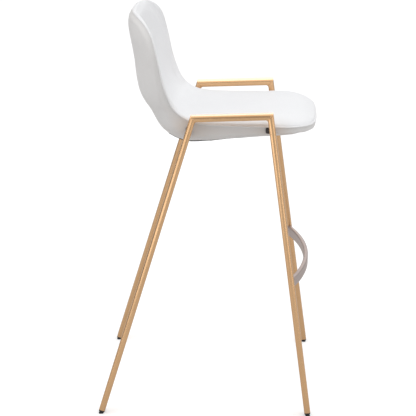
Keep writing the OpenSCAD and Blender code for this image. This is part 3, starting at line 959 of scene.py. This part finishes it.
# ------------------------------------------------------------------ piping sewn into the seam
PIPE_R = 2.1
NP = 460
arc_t = np.linspace(0, 2 * A_E, NP, endpoint=False)
s_o = at_arc(np.where(arc_t <= A_E, arc_t, 2 * A_E - arc_t))
s_o[:, 0] *= np.where(arc_t <= A_E, 1, -1)
sm = np.clip(s_o[:, 1], SM0, SM1)
sc = 1 + (PIPE_R + 0.05) / 197
rim_c = body_pt(s_o[:, 0], s_o[:, 1], 1.0, 0)
pc = body_pt(s_o[:, 0] * sc, sm + (s_o[:, 1] - sm) * sc, 1.0, 0)
rings = []
for i in range(NP):
    t = unit(pc[(i + 1) % NP] - pc[i - 1])
    o = pc[i] - rim_c[i]
    o = unit(o - t * (o @ t))
    nn = np.cross(t, o)
    wob = 1 + 0.025 * math.sin(i * 1.9) + 0.02 * math.sin(i * 0.37)
    ring = []
    for a in np.linspace(0, 2 * math.pi, 14, endpoint=False):
        r = PIPE_R * wob * (1.0 if math.cos(a) > -0.5 else 1.0 + 0.35 * (-math.cos(a) - 0.5))
        ring.append((pc[i] + r * (math.cos(a) * o + math.sin(a) * nn)) * MM)
    rings.append(ring)
pipe = loft("seam_piping", rings, PIPING, close_ends=False, closed_loop=True)
finish_piece(pipe, "piping", "edge_piping")

# ------------------------------------------------------------------ dust cover under the belly, stapled along its edge
tree = BVHTree.FromPolygons([Vector(v) for v in vb], [f[::-1] for f in ff])
DI_S = 7.72
A_D = float(np.interp(DI_S, OUT[:, 1], ARC))
na, nr = 120, 26
d_arc = np.linspace(-A_D, A_D, na + 1)
do = at_arc(np.abs(d_arc))
do[:, 0] *= np.sign(d_arc) + (d_arc == 0)
dr = np.linspace(1.0, 0.0, nr + 1)
tp = np.clip((do[:, 1] - 6.7) / 1.0, 0, 1)
reach = 0.76 + 0.05 * np.exp(-((do[:, 1] - 6.2) / 0.9) ** 2) - 0.10 * tp * tp * (3 - 2 * tp)


def under(pt, off):
    """Point off mm below the outer pad's surface, near pt (mm)."""
    hit, nor, _, _ = tree.find_nearest(Vector(pt) * MM)
    nor = nor if nor.z < 0 or abs(nor.z) < 0.5 and nor.y > 0 else -nor
    return hit + nor * off * MM


def dust_sheet(off):
    out = []
    for k, r in enumerate(dr):
        base = body_pt(do[:, 0], do[:, 1], np.maximum(r * reach, 1e-4), -1)
        for i in range(na + 1):
            edge_in = min(k / 1.5, min(i, na - i) / 1.5 if r > 0 else 9, 1)
            sag = 0.25 * math.sin(base[i][0] / 31.0 + 0.4) * math.sin(base[i][1] / 37.0) + 0.3
            out.append(under(base[i], off + (0.2 if off < 1 else 0.2 + sag) * edge_in))
    return out


lo_s, hi_s = dust_sheet(1.35), dust_sheet(0.25)
did = np.arange((nr + 1) * (na + 1)).reshape(nr + 1, na + 1)
# the last row lies on the middle line, where the two halves meet: weld by merging close points
dv = lo_s + hi_s
df_ = grid_faces(did) + [tuple(i + did.size for i in f[::-1]) for f in grid_faces(did)]
loop = list(did[0, :]) + list(did[1:, -1]) + [] + list(did[:0:-1, 0])
top_row = list(did[0, :])
for a, b in zip(top_row, top_row[1:]):
    df_.append((b, a, a + did.size, b + did.size))
for a, b in zip(did[:-1, -1], did[1:, -1]):
    df_.append((b, a, a + did.size, b + did.size))
for a, b in zip(did[:-1, 0], did[1:, 0]):
    df_.append((a, b, b + did.size, a + did.size))
bm = bmesh.new()
bv = [bm.verts.new(v) for v in dv]
for f in df_:
    try:
        bm.faces.new([bv[i] for i in f])
    except ValueError:
        pass
bmesh.ops.remove_doubles(bm, verts=bm.verts, dist=0.00012)
bmesh.ops.dissolve_degenerate(bm, dist=1e-6, edges=bm.edges)
bmesh.ops.recalc_face_normals(bm, faces=bm.faces)
me = bpy.data.meshes.new("dust_cover_cloth")
bm.to_mesh(me)
bm.free()
me.materials.append(DUST)
me.shade_smooth()
me.set_sharp_from_angle(angle=math.radians(60))
dust = bpy.data.objects.new("dust_cover_cloth", me)
SC.collection.objects.link(dust)
finish_piece(dust, "dust_cover", "dust_cover")

st_obs = []
for i in range(4, na - 2, 5):
    base = body_pt(do[i, 0], do[i, 1], reach[i] - 0.03, -1)
    nxt = body_pt(do[i + 1, 0], do[i + 1, 1], reach[i + 1] - 0.03, -1)
    c, d = np.array(under(base, 1.75)), np.array(under(nxt, 1.75))
    t = unit(d - c)
    hit, nor, _, _ = tree.find_nearest(Vector(base) * MM)
    nor = np.array(nor if nor.z < 0 or abs(nor.z) < 0.5 and nor.y > 0 else -nor)
    o = np.cross(t, nor)
    w, r = 5.0 * MM, 0.33 * MM
    path = [c - t * w - nor * 1.6 * MM, c - t * w - nor * 0.5 * MM, c - t * (w - 0.5 * MM), c + t * (w - 0.5 * MM), c + t * w - nor * 0.5 * MM, c + t * w - nor * 1.6 * MM]
    rg = []
    for k, p in enumerate(path):
        tt = unit(path[min(k + 1, 5)] - path[max(k - 1, 0)])
        n1 = unit(np.cross(tt, o))
        rg.append([p + r * (math.cos(a) * o * 1.4 + math.sin(a) * n1) for a in np.linspace(0, 2 * math.pi, 8, endpoint=False)])
    st_obs.append(loft("s", rg, STAPLE))
staples = join("dust_cover_staples", st_obs)
finish_piece(staples, "zinc")

# ------------------------------------------------------------------ finishes of the CAD nodes that stay
# the cross tubes' near-black coat paints the shade in the seat's side notches
KEEP = {"front_cross_tube": CROSS_TUBE_SHADE_DARK, "rear_cross_tube": CROSS_TUBE_SHADE_DARK, "plywood_shell": PLY, "t_nuts": ZINC,
        "seat_bolts": BOLT, "flat_washers": ZINC, "spring_washers": ZINC}
for name, mat in KEEP.items():
    ob = NODES[name]
    ob.data.materials.clear()
    ob.data.materials.append(mat)

# ------------------------------------------------------------------ floor and light
SKY, SIDE, FLOOR_A, FLOOR_E = (0.30, 1.06), (1.30, 0.86), 0.61, 0.48
fl = Mat("floor_pale")
fo = fl.coords("Object")
fn = fl.noise(fo, 3.0, 3)
fl.set(Base_Color=fl.mix(fl.span(fn, 0, 1, 0.3, 0.7), (FLOOR_A - 0.01,) * 3, (FLOOR_A + 0.01,) * 3), Roughness=0.9,
       Emission_Color=(1.0, 1.0, 1.0), Emission_Strength=FLOOR_E)
floor = new_obj("floor", [(-14, -14, 0), (30, -14, 0), (30, 14, 0), (-14, 14, 0)], [(0, 1, 2, 3)], fl.m, smooth=False)

world_ = bpy.data.worlds.new("studio")
SC.world = world_
world_.use_nodes = True
wt = world_.node_tree
bg = wt.nodes["Background"]
wc, wx, wr = wt.nodes.new("ShaderNodeTexCoord"), wt.nodes.new("ShaderNodeSeparateXYZ"), wt.nodes.new("ShaderNodeMapRange")
wr.interpolation_type = "SMOOTHSTEP"
for k, v in (("From Min", -0.05), ("From Max", 0.95), ("To Min", SKY[0]), ("To Max", SKY[1])):
    wr.inputs[k].default_value = v
wt.links.new(wc.outputs["Generated"], wx.inputs[0])
wt.links.new(wx.outputs["Z"], wr.inputs["Value"])
ws = wt.nodes.new("ShaderNodeMapRange")
ws.interpolation_type = "SMOOTHSTEP"
for k, v in (("From Min", -0.75), ("From Max", 0.75), ("To Min", SIDE[0]), ("To Max", SIDE[1])):
    ws.inputs[k].default_value = v
wm = wt.nodes.new("ShaderNodeMath")
wm.operation = "MULTIPLY"
wt.links.new(wx.outputs["Y"], ws.inputs["Value"])
wt.links.new(wr.outputs["Result"], wm.inputs[0])
wt.links.new(ws.outputs["Result"], wm.inputs[1])
wt.links.new(wm.outputs["Value"], bg.inputs["Strength"])
bg.inputs["Color"].default_value = (1, 1, 1, 1)
only_floor = bpy.data.collections.new("only_floor")
only_floor.objects.link(floor)
floor.light_linking.receiver_collection = only_floor


def area_light(name, loc, at, size, power, color=(1, 1, 1)):
    d = bpy.data.lights.new(name, "AREA")
    d.shape, d.size, d.size_y, d.energy, d.color = "RECTANGLE", size[0], size[1], power, color
    o = bpy.data.objects.new(name, d)
    o.location = loc
    o.rotation_euler = (Vector(at) - Vector(loc)).to_track_quat("-Z", "Y").to_euler()
    SC.collection.objects.link(o)
    return o


area_light("key", (-1.5, 2.8, 2.3), (0, 0.05, 0.75), (2.4, 2.0), 26)
area_light("front", (-1.0, -3.1, 1.5), (0, -0.1, 0.75), (2.0, 1.6), 9)
area_light("far_side", (3.6, -0.1, 1.95), (0, 0, 0.8), (3.4, 1.5), 9)
gilt = bpy.data.collections.new("gilt")
for ob in bpy.data.objects:
    if ob.type == "MESH" and any(ms.material == GOLD for ms in ob.material_slots):
        gilt.objects.link(ob)
for nm, at0, at1, sz, pw in (("gilt_side", (3.6, -0.1, 1.85), (0, 0, 0.8), (4.0, 2.8), 30),
                             ("gilt_low", (-3.0, -1.7, 0.5), (0, 0, 0.5), (1.5, 1.2), 5),
                             ("gilt_rear", (-2.9, 1.1, 0.5), (0, 0, 0.5), (1.6, 0.9), 4.5)):
    area_light(nm, at0, at1, sz, pw).light_linking.receiver_collection = gilt
SC.view_settings.view_transform = "Standard"
SC.view_settings.look = "None"
